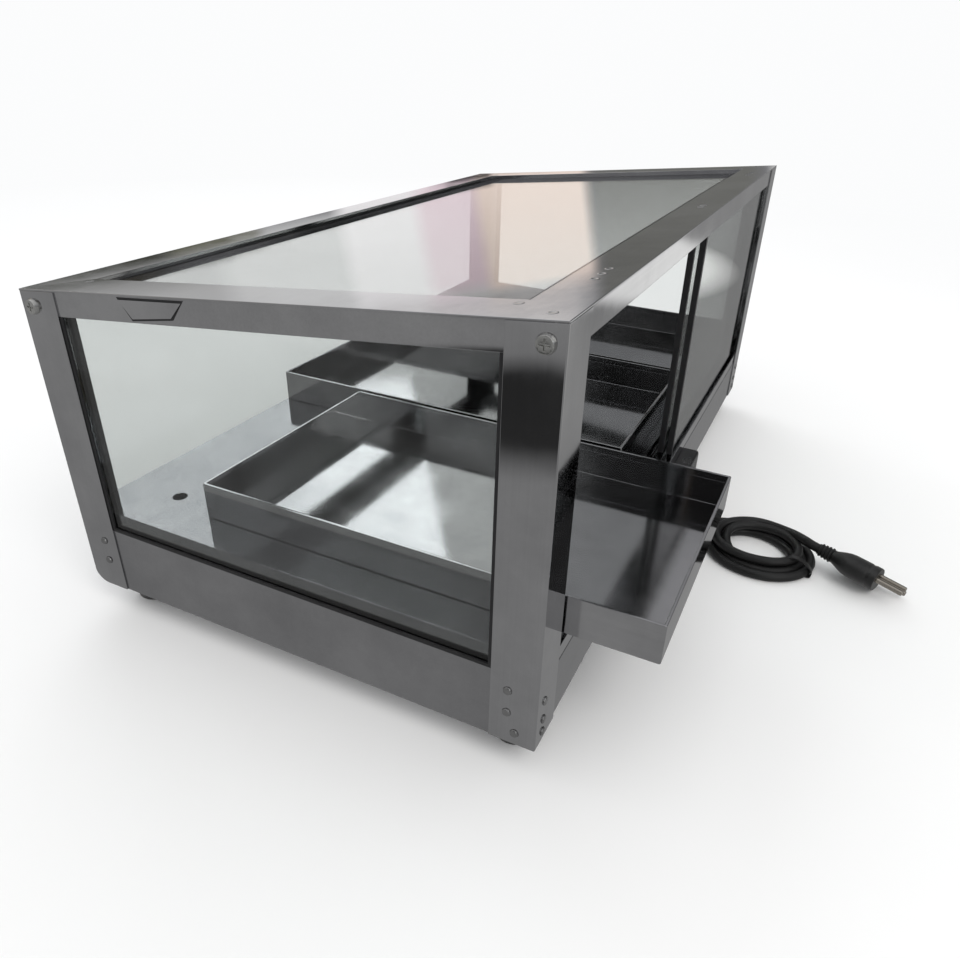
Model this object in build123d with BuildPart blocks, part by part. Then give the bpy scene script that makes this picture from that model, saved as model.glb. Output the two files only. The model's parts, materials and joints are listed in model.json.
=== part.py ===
from build123d import *
import os
from math import cos, pi, radians, sin, sqrt, tan

# Hot food display case, three trays side by side, two glass doors on the operator's side.
# Frame: +X along the long side, -Y the operator's side, +Y the customer's side, +Z up,
# origin on the ground under the middle of the case. All sizes in millimetres.

# driving dimensions
case_length = 570.0
case_depth = 320.0
foot_height = 20.0
operator_height = 251.5     # ground to the top of the case on the operator's side
customer_height = 217.0     # the top slopes down towards the customers
sheet = 1.0                 # stainless steel sheet
glass_thickness = 3.0
top_glass_thickness = 4.0
gap = 0.4                   # running clearance between moving pieces

post_flange = 27.0
end_panel_height = 46.0
operator_panel_height = 38.5
deck_height = 58.0          # deck surface above the base's lower edge
border_width = 28.0
border_thickness = 1.2
skirt_height = 15.0
lip_depth = 10.0
ledge_width = 8.0
base_corner_radius = 10.0
base_flange = 22.0          # width of the base's inward flange
foot_bore = 2.2             # clearance radius of the foot screws
foot_radius = 17.0
foot_tip_radius = 12.5

tray_width = 168.0
tray_length = 289.0
tray_height = 24.0
tray_pitch = 171.5
tray_wall = 0.9
tray_hem = 5.0
tray_in_place = 9.0         # middle of a tray's length when it is pushed home
left_tray_pull = 75.5       # how far the left tray is drawn out at rest

door_width = 291.0
door_right_edge = 281.0
track_lip = 1.0
track_channel = 6.0
track_outer_face = -158.8
track_floor = 59.0
track_lip_top = 67.8

housing_left = -39.0
housing_right = 30.0
housing_depth = 13.0
housing_wall = 2.0
knob_x = -11.0
knob_radius = 21.0
knob_skirt = 6.5            # thickness of the knob's disc
grip_length = 36.0
grip_width = 10.0
grip_height = 7.5
shaft_radius = 3.0
shaft_hole_radius = 6.0     # hole for the thermostat's bush in the operator's panel
cord_hole_x = 18.0
cord_hole_radius = 5.0
relief_length = 24.0
cord_radius = 3.5

# worked out
half_length = case_length / 2
half_depth = case_depth / 2
base_bottom = foot_height
slope = (operator_height - customer_height) / case_depth
middle_height = (operator_height + customer_height) / 2
end_panel_top = base_bottom + end_panel_height
operator_panel_top = base_bottom + operator_panel_height
deck_top = base_bottom + deck_height
plate_top = base_bottom + 2 * sheet      # upper face of the bottom plate
shell_x = half_length - sheet
shell_y = half_depth - sheet
glass_x = shell_x - sheet - 0.2          # outer face of the end glasses
glass_y = shell_y - sheet - 0.2          # outer face of the customer's glass
deck_front = track_outer_face + 3 * track_lip + 2 * track_channel + 0.5      # behind the door track
deck_back = glass_y - glass_thickness - 0.3
deck_half_length = glass_x - glass_thickness - 0.3
tray_bottom = deck_top + 0.3
knob_z = base_bottom + operator_panel_height / 2 + 0.75
housing_front = -shell_y - housing_depth
outer_channel = track_outer_face + track_lip + track_channel / 2
inner_channel = outer_channel + track_lip + track_channel


def top_height(y):
    """Height of the sloping top of the case at depth y."""
    return middle_height - slope * y


def slab(half_x, half_y, upper, lower, mode=Mode.ADD):
    """A plate parallel to the sloping top, with upright edges, between two depths below it."""
    with BuildSketch(Plane.YZ) as side:
        with BuildLine():
            Polyline(
                (-half_y, top_height(-half_y) - upper),
                (half_y, top_height(half_y) - upper),
                (half_y, top_height(half_y) - lower),
                (-half_y, top_height(-half_y) - lower),
                close=True,
            )
        make_face()
    extrude(side.sketch, amount=half_x, both=True, mode=mode)


def block(x0, x1, y0, y1, z0, z1, mode=Mode.ADD):
    """An upright box between two corners."""
    with Locations(((x0 + x1) / 2, (y0 + y1) / 2, (z0 + z1) / 2)):
        Box(x1 - x0, y1 - y0, z1 - z0, mode=mode)


def save(piece, name):
    """Write one named piece."""
    piece.part.label = name
    export_step(piece.part, f"parts/{name}.step")


# fastener sites: (x, y, z, outward direction)
end_rivet_heights = (56.0, 41.0, 28.0)
face_rivet_heights = (48.0, 35.0, 26.0)
rivet_radius = 1.6


def rivet_sites():
    """Where the posts are riveted to the base, on the end faces and on the long sides."""
    sites = []
    for sx in (-1, 1):
        for sy in (-1, 1):
            for z in end_rivet_heights:
                inset = 17.0 if z > 30 else 12.0
                if sy > 0 and z < 30:
                    continue
                sites.append((sx * half_length, sy * (half_depth - inset), z, (sx, 0, 0)))
            for z in face_rivet_heights:
                if sy > 0 and z < 30:
                    continue
                sites.append((sx * (half_length - 10.0), sy * half_depth, z, (0, sy, 0)))
    return sites


def screw_sites():
    """One screw near the top of each post, on the end faces."""
    sites = []
    for sx in (-1, 1):
        for sy in (-1, 1):
            y = sy * (half_depth - 9.0)
            sites.append((sx * half_length, y, top_height(y) - 9.5, (sx, 0, 0)))
    return sites


def bore_sites(sites, radius, depth=6.0):
    """Drill straight in from each site."""
    for x, y, z, out in sites:
        with BuildSketch(Plane(origin=(x, y, z), z_dir=out).offset(1)) as bore:
            Circle(radius)
        extrude(bore.sketch, amount=-depth, mode=Mode.SUBTRACT)


def corner_cut():
    """The lower edge of the base is rounded on the customer's side."""
    r = base_corner_radius
    with BuildSketch(Plane.YZ) as spandrel:
        with Locations((half_depth - r / 2, base_bottom + r / 2)):
            Rectangle(r, r)
        with Locations((half_depth - r, base_bottom + r)):
            Circle(r, mode=Mode.SUBTRACT)
    extrude(spandrel.sketch, amount=half_length + 1, both=True, mode=Mode.SUBTRACT)


# base ---------------------------------------------------------------------------------

foot_spots = [(sx * 258.0, sy * 138.0) for sx in (-1, 1) for sy in (-1, 1)]
counterbore_depth = 5.0
foot_names = ["foot_operator_left", "foot_customer_left", "foot_operator_right", "foot_customer_right"]


def make_base_shell():
    """The folded base: high ends and customer's side, a lower panel under the doors."""
    with BuildPart() as shell:
        block(-shell_x, shell_x, -shell_y, shell_y, base_bottom, end_panel_top)
        inner_x, inner_y = shell_x - sheet, shell_y - sheet
        block(-inner_x, inner_x, -inner_y, inner_y, base_bottom + sheet, end_panel_top, Mode.SUBTRACT)
        block(-inner_x + base_flange, inner_x - base_flange, -inner_y + base_flange, inner_y - base_flange,
              base_bottom - 1, base_bottom + 2, Mode.SUBTRACT)
        block(-inner_x, inner_x, -shell_y - 1, -inner_y + 0.5, operator_panel_top, end_panel_top + 1,
              Mode.SUBTRACT)
        with Locations((knob_x, -shell_y, knob_z)):
            Cylinder(shaft_hole_radius, 8.0, rotation=(90, 0, 0), mode=Mode.SUBTRACT)
        with Locations((cord_hole_x, -shell_y, knob_z)):
            Cylinder(cord_hole_radius, 8.0, rotation=(90, 0, 0), mode=Mode.SUBTRACT)
        with Locations(*[(x, y, base_bottom) for x, y in foot_spots]):
            Cylinder(foot_bore, 6.0, mode=Mode.SUBTRACT)
        bore_sites(rivet_sites(), rivet_radius)
        corner_cut()
    return shell


def make_bottom_plate():
    """Closes the base from below; its slots let air in."""
    z0 = base_bottom + sheet
    inset = 9.0
    slot_length, slot_width, slot_pitch = 42.0, 5.0, 14.0
    x, y = shell_x - sheet - inset, shell_y - sheet - inset
    with BuildPart() as plate:
        block(-x, x, -y, y, z0, z0 + sheet)
        with Locations((0, 0, z0 + sheet / 2)):
            with GridLocations(60.0, 90.0, 6, 2):
                with Locations((0, -slot_pitch, 0), (0, 0, 0), (0, slot_pitch, 0)):
                    Box(slot_length, slot_width, 4 * sheet, mode=Mode.SUBTRACT)
        with Locations(*[(px, py, z0) for px, py in foot_spots]):
            Cylinder(foot_bore, 6.0, mode=Mode.SUBTRACT)
    return plate


def make_foot(x, y):
    """A tapered rubber foot with a counterbore for its screw."""
    with BuildPart() as foot:
        with BuildSketch(Plane.XZ.offset(-y)):
            with BuildLine():
                Polyline((x, 0), (x + foot_tip_radius - 1, 0), (x + foot_tip_radius, 2.0),
                         (x + foot_radius - 1, 14.0), (x + foot_radius, foot_height),
                         (x, foot_height), close=True)
            make_face()
        revolve(axis=Axis((x, y, 0), (0, 0, 1)))
        fillet(foot.edges().filter_by(GeomType.CIRCLE).sort_by(Axis.Z)[0], 1.0)
        with Locations((x, y, 0)):
            Cylinder(5.0, 2 * counterbore_depth, mode=Mode.SUBTRACT)
        with Locations((x, y, foot_height / 2)):
            Cylinder(foot_bore, foot_height + 2, mode=Mode.SUBTRACT)
    return foot


def make_foot_screws():
    """A pan head screw up through each foot, with its nut on the bottom plate."""
    head, shank_end = 3.0, plate_top + 6.0
    with BuildPart() as screws:
        for x, y in foot_spots:
            with BuildSketch(Plane.XY.offset(counterbore_depth - head)):
                with Locations((x, y)):
                    Circle(4.2)
            extrude(amount=head)
            with BuildSketch(Plane.XY.offset(counterbore_depth - 0.1)):
                with Locations((x, y)):
                    Circle(2.0)
            extrude(amount=shank_end - counterbore_depth)
            with BuildSketch(Plane.XY.offset(plate_top)):
                with Locations((x, y)):
                    RegularPolygon(4.2, 6)
            extrude(amount=3.2)
    return screws


def make_rivets():
    """Blind rivets: a domed head outside, a shank through both sheets and a tail inside."""
    head_radius, tail_radius = 2.6, 2.2
    with BuildPart() as rivets:
        for x, y, z, out in rivet_sites():
            plane = Plane(origin=(x, y, z), z_dir=out)
            with BuildSketch(plane):
                Circle(head_radius)
            extrude(amount=0.9, taper=30)
            with BuildSketch(plane):
                Circle(rivet_radius - 0.02)
            extrude(amount=-2 * sheet)
            with BuildSketch(plane.offset(-2 * sheet)):
                Circle(tail_radius)
            extrude(amount=-1.4)
    return rivets


def make_corner_screws():
    """Pan head screws that hold the posts to the top frame, on the end faces."""
    head_radius, head_height, cross = 4.6, 2.2, 5.0
    with BuildPart() as screws:
        for x, y, z, out in screw_sites():
            plane = Plane(origin=(x, y, z), z_dir=out)
            with BuildSketch(plane):
                Circle(head_radius)
            extrude(amount=head_height, taper=18)
            with BuildSketch(plane.offset(head_height)):
                Rectangle(cross, 0.9)
                Rectangle(0.9, cross)
            extrude(amount=-head_height / 2, mode=Mode.SUBTRACT)
            with BuildSketch(plane):
                Circle(1.98)
            extrude(amount=-2 * sheet - 0.1)
    return screws


# posts and top frame ------------------------------------------------------------------

def make_post(sx, sy):
    """An L-shaped corner post, standing outside the base and the top frame's skirt."""
    x0, x1 = sorted((sx * half_length, sx * (half_length - post_flange)))
    y0, y1 = sorted((sy * half_depth, sy * (half_depth - post_flange)))
    cx0, cx1 = sorted((sx * (half_length - sheet), sx * (half_length - post_flange - 1)))
    cy0, cy1 = sorted((sy * (half_depth - sheet), sy * (half_depth - post_flange - 1)))
    with BuildPart() as post:
        block(x0, x1, y0, y1, base_bottom, operator_height + 5)
        corner = post.edges().filter_by(Axis.Z).sort_by(lambda e: sx * e.center().X + sy * e.center().Y)[-1]
        fillet(corner, 0.8)
        block(cx0, cx1, cy0, cy1, base_bottom - 1, operator_height + 6, Mode.SUBTRACT)
        slab(half_length + 1, half_depth + 1, -60.0, border_thickness, Mode.SUBTRACT)
        bore_sites(rivet_sites(), rivet_radius)
        bore_sites(screw_sites(), 2.0)
        if sy > 0:
            corner_cut()
    return post


def make_top_frame():
    """Border, outer skirt, and an inner lip with the ledge that the top glass lies on."""
    opening_x, opening_y = half_length - border_width, half_depth - border_width
    with BuildPart() as frame:
        slab(half_length, half_depth, 0.0, border_thickness)
        slab(shell_x, shell_y, border_thickness, skirt_height)
        slab(shell_x - sheet, shell_y - sheet, border_thickness, skirt_height + 1, Mode.SUBTRACT)
        slab(opening_x + sheet, opening_y + sheet, border_thickness, lip_depth)
        slab(opening_x, opening_y, -1.0, lip_depth - sheet, Mode.SUBTRACT)
        slab(opening_x - ledge_width, opening_y - ledge_width, -1.0, lip_depth + 1, Mode.SUBTRACT)
        bore_sites(screw_sites(), 2.0)
    return frame


seal_thickness = 1.0
glass_play = 0.5


def make_top_seal():
    """Sealing strip between the ledge and the top glass."""
    opening_x, opening_y = half_length - border_width, half_depth - border_width
    upper, lower = lip_depth - sheet - seal_thickness, lip_depth - sheet
    with BuildPart() as seal:
        slab(opening_x - glass_play, opening_y - glass_play, upper, lower)
        slab(opening_x - ledge_width, opening_y - ledge_width, upper - 1, lower + 1, Mode.SUBTRACT)
    return seal


def make_top_glass():
    opening_x, opening_y = half_length - border_width - glass_play, half_depth - border_width - glass_play
    lower = lip_depth - sheet - seal_thickness
    with BuildPart() as glass:
        slab(opening_x, opening_y, lower - top_glass_thickness, lower)
    return glass


glass_foot = base_bottom + 40.0
end_glass_front = deck_front + 1.5


def make_end_glass(sx):
    x0, x1 = sorted((sx * glass_x, sx * (glass_x - glass_thickness)))
    y1 = glass_y - glass_thickness - 0.3
    with BuildPart() as glass:
        block(x0, x1, end_glass_front, y1, glass_foot, operator_height)
        slab(half_length + 1, half_depth + 1, -60.0, border_thickness + glass_play, Mode.SUBTRACT)
    return glass


def make_customer_glass():
    with BuildPart() as glass:
        block(-glass_x, glass_x, glass_y - glass_thickness, glass_y, glass_foot, operator_height)
        slab(half_length + 1, half_depth + 1, -60.0, border_thickness + glass_play, Mode.SUBTRACT)
    return glass


def make_glass_seals():
    """Black sealing strips along the panel tops and beside the posts, in front of each fixed glass."""
    top, show = end_panel_top, 2.0
    with BuildPart() as seals:
        for sx in (-1, 1):
            x0, x1 = sorted((sx * glass_x, sx * shell_x))
            inner = half_depth - post_flange
            block(x0, x1, -inner + show, inner - show, top, top + show)
            for sy in (-1, 1):
                y0, y1 = sorted((sy * (inner - show), sy * (inner + 3.0)))
                block(x0, x1, y0, y1, top, operator_height)
        inner = half_length - post_flange
        block(-inner + show, inner - show, glass_y, shell_y, top, top + show)
        for sx in (-1, 1):
            x0, x1 = sorted((sx * (inner - show), sx * (inner + 3.0)))
            block(x0, x1, glass_y, shell_y, top, operator_height)
        slab(half_length + 1, half_depth + 1, -60.0, skirt_height, Mode.SUBTRACT)
    return seals


# deck and door tracks -----------------------------------------------------------------

vent_spots = [(sx * 245.0, sy * 112.0) for sx in (-1, 1) for sy in (-1, 1)]
vent_radius = 4.5


def make_deck():
    """The heated deck: a folded tray upside down, with a vent hole near each corner."""
    flange_bottom = base_bottom + 41.0
    with BuildPart() as deck:
        block(-deck_half_length, deck_half_length, deck_front, deck_back, flange_bottom, deck_top)
        block(-deck_half_length + sheet, deck_half_length - sheet, deck_front + sheet, deck_back - sheet,
              flange_bottom - 1, deck_top - sheet, Mode.SUBTRACT)
        with Locations(*[(x, y, deck_top) for x, y in vent_spots]):
            Cylinder(vent_radius, 6.0, mode=Mode.SUBTRACT)
    return deck


track_half_length = shell_x - sheet - 0.3
track_inner_face = track_outer_face + 3 * track_lip + 2 * track_channel
track_web = 1.2


def make_lower_track():
    """Double channel that the doors' lower edges run in."""
    with BuildPart() as track:
        block(-track_half_length, track_half_length, track_outer_face, track_inner_face,
              track_floor, track_floor + track_web)
        for i in range(3):
            lip = track_outer_face + i * (track_lip + track_channel)
            block(-track_half_length, track_half_length, lip, lip + track_lip, track_floor, track_lip_top)
    return track


upper_track_top = 247.2
upper_track_bottom = 237.0
upper_lip = 0.8


def make_upper_track():
    """The same channel upside down, folded from thinner sheet, behind the top frame's skirt."""
    outer = track_outer_face + sheet
    with BuildPart() as track:
        block(-track_half_length, track_half_length, outer, track_inner_face,
              upper_track_top - track_web, upper_track_top)
        for i in range(3):
            lip = max(track_outer_face + i * (track_lip + track_channel), outer)
            block(-track_half_length, track_half_length, lip, lip + upper_lip,
                  upper_track_bottom, upper_track_top)
    return track


# trays --------------------------------------------------------------------------------

def make_tray(x, y):
    """A folded and welded tray, open at the top, with its rim hemmed inwards."""
    x0, x1 = x - tray_width / 2, x + tray_width / 2
    y0, y1 = y - tray_length / 2, y + tray_length / 2
    top = tray_bottom + tray_height
    hem = 2 * tray_wall
    with BuildPart() as tray:
        block(x0, x1, y0, y1, tray_bottom, top)
        fillet(tray.edges().filter_by(Axis.Z), 1.2)
        block(x0 + tray_wall, x1 - tray_wall, y0 + tray_wall, y1 - tray_wall,
              tray_bottom + tray_wall, top - tray_hem, Mode.SUBTRACT)
        block(x0 + hem, x1 - hem, y0 + hem, y1 - hem, top - tray_hem, top + 1, Mode.SUBTRACT)
    return tray


# doors --------------------------------------------------------------------------------

edge_trim = 2.0
door_bottom = track_floor + track_web + gap
door_top = 243.0


def make_door_glass(channel):
    with BuildPart() as door:
        block(door_right_edge - door_width + edge_trim, door_right_edge,
              channel - glass_thickness / 2, channel + glass_thickness / 2, door_bottom, door_top)
        fillet(door.edges().filter_by(Axis.Y), 2.0)
    return door


def make_door_edge(channel):
    """The dark edging on a door's leading edge: a U strip over the glass."""
    x0 = door_right_edge - door_width
    half = glass_thickness / 2
    low, high = track_lip_top + 1.0, upper_track_bottom - 1.0
    with BuildPart() as edge:
        block(x0, x0 + edge_trim, channel - half, channel + half, low, high)
        for side in (-1, 1):
            y0, y1 = sorted((channel + side * half, channel + side * (half + 0.6)))
            block(x0, x0 + 2 * edge_trim, y0, y1, low, high)
    return edge


# controls -----------------------------------------------------------------------------

# the power cord's route, from the strain relief's tip to the coil
cord_route = [
    (15.4, -182.4, 10.2),
    (16.2, -188.2, 5.4),
    (18.6, -196.5, 3.7),
    (22.5, -206.0, 3.6),
    (26.5, -217.0, 3.6),
    (28.5, -230.0, 3.6),
]
collar_offset = 6.5
collar_radius = 7.0
relief_tip = Vector(*cord_route[0])
relief_direction = (Vector(*cord_route[1]) - relief_tip).normalized()
relief_start = relief_tip - relief_direction * relief_length


def make_relief():
    """Tapered strain relief with a collar, slanting down and out of the control box."""
    with BuildPart() as relief:
        with BuildSketch(Plane(origin=relief_start, z_dir=relief_direction)):
            Circle(5.2)
        with BuildSketch(Plane(origin=relief_tip, z_dir=relief_direction)):
            Circle(cord_radius + 0.7)
        loft()
        collar = relief_start + relief_direction * collar_offset
        with BuildSketch(Plane(origin=collar, z_dir=relief_direction)):
            Circle(collar_radius)
        extrude(amount=2.0)
    return relief


def make_housing(relief):
    """The control box: a moulded cover, hollow, open towards the panel."""
    width, height = housing_right - housing_left, operator_panel_height - 0.6
    centre = ((housing_left + housing_right) / 2, base_bottom + operator_panel_height / 2)
    with BuildPart() as housing:
        with BuildSketch(Plane.XZ.offset(shell_y)) as outline:
            with Locations(centre):
                Rectangle(width, height)
            fillet(outline.vertices().group_by(Axis.Y)[0], 9.0)
        extrude(amount=housing_depth)
        front = housing.faces().sort_by(Axis.Y)[0]
        fillet(front.edges(), 2.5)
        with BuildSketch(Plane.XZ.offset(shell_y - 0.01)):
            with Locations(centre):
                RectangleRounded(width - 2 * housing_wall, height - 2 * housing_wall, 6.0)
        extrude(amount=housing_depth - housing_wall, mode=Mode.SUBTRACT)
        with Locations((knob_x, housing_front, knob_z)):
            Cylinder(shaft_radius + 1.0, 10.0, rotation=(90, 0, 0), mode=Mode.SUBTRACT)
        add(relief.part, mode=Mode.SUBTRACT)
    return housing


def make_knob():
    """A round knob with a raised grip bar across it, bored for the shaft."""
    y_back = housing_front - gap
    with BuildPart() as knob:
        with BuildSketch(Plane.XZ.offset(-y_back)):
            with Locations((knob_x, knob_z)):
                Circle(knob_radius)
        extrude(amount=knob_skirt, taper=8)
        with BuildSketch(Plane.XZ.offset(-y_back + knob_skirt)):
            with Locations((knob_x, knob_z)):
                SlotOverall(grip_length, grip_width, rotation=0)
        extrude(amount=grip_height, taper=6)
        fillet(knob.faces().sort_by(Axis.Y)[0].edges(), 1.2)
        with Locations((knob_x, y_back - 4.0, knob_z)):
            Cylinder(shaft_radius, 8.0, rotation=(90, 0, 0), mode=Mode.SUBTRACT)
    return knob


shaft_inner_end = -150.0


def make_shaft():
    """The thermostat's shaft, with a flat for the knob."""
    y0, y1 = housing_front - gap - 8.0, shaft_inner_end
    with BuildPart() as shaft:
        with Locations((knob_x, (y0 + y1) / 2, knob_z)):
            Cylinder(shaft_radius, y1 - y0, rotation=(90, 0, 0))
        with Locations((knob_x, y0 + 3.5, knob_z + shaft_radius)):
            Box(8.0, 7.0, 1.6, mode=Mode.SUBTRACT)
    return shaft


thermostat_half_width = 17.0
thermostat_half_height = 13.0
thermostat_back = -126.0
bulb_exit = -122.0          # where the capillary tube leaves the thermostat


def make_thermostat():
    """The thermostat's case stands behind the operator's panel, its shaft bush through the panel."""
    bush_radius, bush_back = 5.0, -147.0
    bush_front = housing_front + housing_wall + 0.5
    with BuildPart() as thermostat:
        block(knob_x - thermostat_half_width, knob_x + thermostat_half_width,
              -shell_y + sheet + 0.3, thermostat_back,
              knob_z - thermostat_half_height, knob_z + thermostat_half_height)
        with Locations((knob_x, (bush_front + bush_back) / 2, knob_z)):
            Cylinder(bush_radius, bush_back - bush_front, rotation=(90, 0, 0))
            Cylinder(shaft_radius + gap, 60.0, rotation=(90, 0, 0), mode=Mode.SUBTRACT)
        block(knob_x - 4, knob_x + 4, thermostat_back, bulb_exit, knob_z + 2, knob_z + 8)
    return thermostat


def tube(points, radius, arc):
    """A round bar along straight runs joined by equal arcs."""
    with BuildLine() as path:
        FilletPolyline(*points, radius=arc)
    with BuildSketch(Plane(origin=path.line @ 0, z_dir=path.line % 0)) as section:
        Circle(radius)
    sweep(section.sketch, path=path.line)


def make_bulb():
    """Capillary tube from the thermostat to its bulb under the deck."""
    y, z, bulb_x, bulb_length = -104.0, 70.0, 40.0, 70.0
    with BuildPart() as bulb:
        tube([(knob_x, bulb_exit, knob_z + 5), (knob_x, y, knob_z + 5), (knob_x, y, z), (bulb_x, y, z)],
             1.0, 7.0)
        with Locations((bulb_x + bulb_length / 2, y, z)):
            Cylinder(3.0, bulb_length, rotation=(0, 90, 0))
    return bulb


element_z = 67.0
element_radius = 4.0
element_path = [(40.0, -60.0), (235.0, -60.0), (235.0, 90.0), (-235.0, 90.0), (-235.0, -60.0), (-20.0, -60.0)]


def make_element():
    """Sheathed heating element, bent to a loop under the deck."""
    with BuildPart() as element:
        tube([(x, y, element_z) for x, y in element_path], element_radius, 35.0)
        with Locations((30.0, -60.0, element_z), (-10.0, -60.0, element_z)):
            Cylinder(1.6, 22.0, rotation=(0, 90, 0))
    return element


clip_spots = [(sx * 150.0, y) for sx in (-1, 1) for y in (-60.0, 90.0)]


def make_clips():
    """Saddles that hold the element against the underside of the deck."""
    with BuildPart() as clips:
        for x, y in clip_spots:
            block(x - 6, x + 6, y - 9, y + 9, element_z - 6, deck_top - sheet)
            with Locations((x, y, element_z)):
                Cylinder(element_radius + 0.05, 20.0, rotation=(0, 90, 0), mode=Mode.SUBTRACT)
    return clips


def make_terminal_block():
    """A three-way connector strip on the bottom plate."""
    with BuildPart() as terminals:
        block(60.0, 96.0, -122.0, -104.0, plate_top, plate_top + 14)
        with Locations((78.0, -113.0, plate_top + 14)):
            with GridLocations(11.0, 1.0, 3, 1):
                Cylinder(2.4, 8.0, mode=Mode.SUBTRACT)
        with Locations((78.0, -122.0, plate_top + 5)):
            with GridLocations(11.0, 1.0, 3, 1):
                Cylinder(2.0, 8.0, rotation=(90, 0, 0), mode=Mode.SUBTRACT)
    return terminals


def make_wires():
    """Insulated wires inside the base: mains in, to the thermostat and to the element."""
    z = plate_top + 5
    with BuildPart() as wires:
        for i, x in enumerate((67.0, 78.0, 89.0)):
            start, turn = cord_hole_x + 3.5 * (i - 1), -138.0 - 6.0 * i
            tube([(start, -157.0, knob_z), (start, turn, knob_z), (x, turn, z), (x, -118.5, z)], 1.2, 3.0)
        tube([(knob_x + thermostat_half_width + 0.2, -140.0, knob_z - 8), (16.0, -140.0, knob_z - 8),
              (16.0, -60.0, 52.0), (16.0, -60.0, element_z - 4)], 1.2, 5.0)
    return wires


def make_label():
    """A small plain plate beside the controls, left blank."""
    with BuildPart() as label:
        block(32.0, 52.0, -shell_y - 0.4, -shell_y, 28.0, 47.0)
    return label


# power cord ---------------------------------------------------------------------------

coil_centre = Vector(-8.0, -236.0, 0)
coil_half_x = 38.0
coil_half_y = 42.0
coil_height = 15.0
coil_hole_x = 17.0
coil_hole_y = 21.0
cord_lead = 16.0
plug_lead = 14.0
tie_offset = 14.0           # how far the tie stands to the left of the coil's middle
tie_width = 4.0
tie_band = 0.8


def bend_radii(points):
    """The arc at each corner takes 0.45 of the shorter run beside it."""
    radii = []
    for a, b, c in zip(points, points[1:], points[2:]):
        first, second = Vector(*b) - Vector(*a), Vector(*c) - Vector(*b)
        turn = radians(first.get_angle(second))
        radii.append(0.45 * min(first.length, second.length) / tan(turn / 2))
    return radii


def make_cord():
    """The stretch of cord from the strain relief to the coil."""
    radii = bend_radii(cord_route)
    print("cord radii", [round(r, 1) for r in radii])
    with BuildPart() as cord:
        with BuildLine() as path:
            FilletPolyline(*cord_route, radius=radii)
        with BuildSketch(Plane(origin=path.line @ 0, z_dir=path.line % 0)):
            Circle(cord_radius)
        sweep(path=path)
    length = sum(run.length for run in path.edges())
    section = pi * cord_radius ** 2
    print("cord tube", round(length, 1), "mm, volume ratio", round(cord.part.volume / section / length, 4))
    return cord


# the plug's tail lies on the ring's edge and its front end on the ground
plug_direction = Vector(-0.33, -0.944, -0.1).normalized()
plug_side = Vector(0.944, -0.33, 0).normalized()
plug_up = plug_side.cross(plug_direction)
plug_roll = 30.0
plug_start = Vector(-4.0, -277.0, 16.2)
plug_tail = 12.0
plug_body_length = 34.0
pin_length = 19.0
pin_spacing = 9.5
pin_radius = 2.0


def plug_plane(along):
    """A plane across the plug, its x direction along the row of pins."""
    across = plug_side * cos(radians(plug_roll)) + plug_up * sin(radians(plug_roll))
    return Plane(origin=plug_start + plug_direction * along, x_dir=across, z_dir=plug_direction)


def make_plug_body():
    """A moulded plug: a tapered tail, a shoulder and a flat oval face."""
    with BuildPart() as body:
        with BuildSketch(plug_plane(0)):
            Circle(cord_radius + 0.8)
        with BuildSketch(plug_plane(plug_tail)):
            Ellipse(9.0, 7.0)
        loft()
        with BuildSketch(plug_plane(plug_tail)):
            Ellipse(9.0, 7.0)
        with BuildSketch(plug_plane(plug_tail + 14.0)):
            Ellipse(17.0, 9.0)
        with BuildSketch(plug_plane(plug_tail + plug_body_length)):
            Ellipse(17.5, 8.5)
        loft()
    return body


def make_plug_pins():
    """Three round pins, the middle one set off the line of the other two."""
    with BuildPart() as pins:
        for i, offset in ((-1, 0.0), (0, 3.0), (1, 0.0)):
            with BuildSketch(plug_plane(plug_tail + plug_body_length)):
                with Locations((i * pin_spacing, offset)):
                    Circle(pin_radius)
            extrude(amount=pin_length)
        fillet(pins.edges().filter_by(GeomType.CIRCLE).group_by(Axis(plug_start, plug_direction))[-1], 1.0)
    return pins


def make_coil(cord, plug, tie):
    """The outer shape of the coiled cord, with the short leads that join it to the tube and the plug."""
    last = (Vector(*cord_route[-1]) - Vector(*cord_route[-2])).normalized()
    with BuildPart() as coil:
        with BuildSketch():
            with Locations((coil_centre.X, coil_centre.Y)):
                Ellipse(coil_half_x, coil_half_y)
                Ellipse(coil_hole_x, coil_hole_y, mode=Mode.SUBTRACT)
        extrude(amount=coil_height)
        fillet(coil.edges(), 3.0)
        for piece in (cord, plug, tie):
            add(piece.part, mode=Mode.SUBTRACT)
        with BuildSketch(Plane(origin=Vector(*cord_route[-1]), z_dir=last)):
            Circle(cord_radius)
        extrude(amount=cord_lead)
        with BuildSketch(Plane(origin=plug_start, z_dir=plug_direction * -1)):
            Circle(cord_radius)
        extrude(amount=plug_lead)
    return coil


def make_tie():
    """A band tie round the ring of the coil, beside the plug."""
    x, offset = coil_centre.X - tie_offset, tie_offset
    outer = coil_centre.Y - coil_half_y * sqrt(1 - (offset / coil_half_x) ** 2)
    inner = coil_centre.Y - coil_hole_y * sqrt(1 - (offset / coil_hole_x) ** 2)
    half, band = tie_width / 2, tie_band
    with BuildPart() as tie:
        block(x - half, x + half, outer - band, inner + band, 0, coil_height + band)
        block(x - half - 1, x + half + 1, outer, inner, band, coil_height, Mode.SUBTRACT)
    return tie


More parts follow.
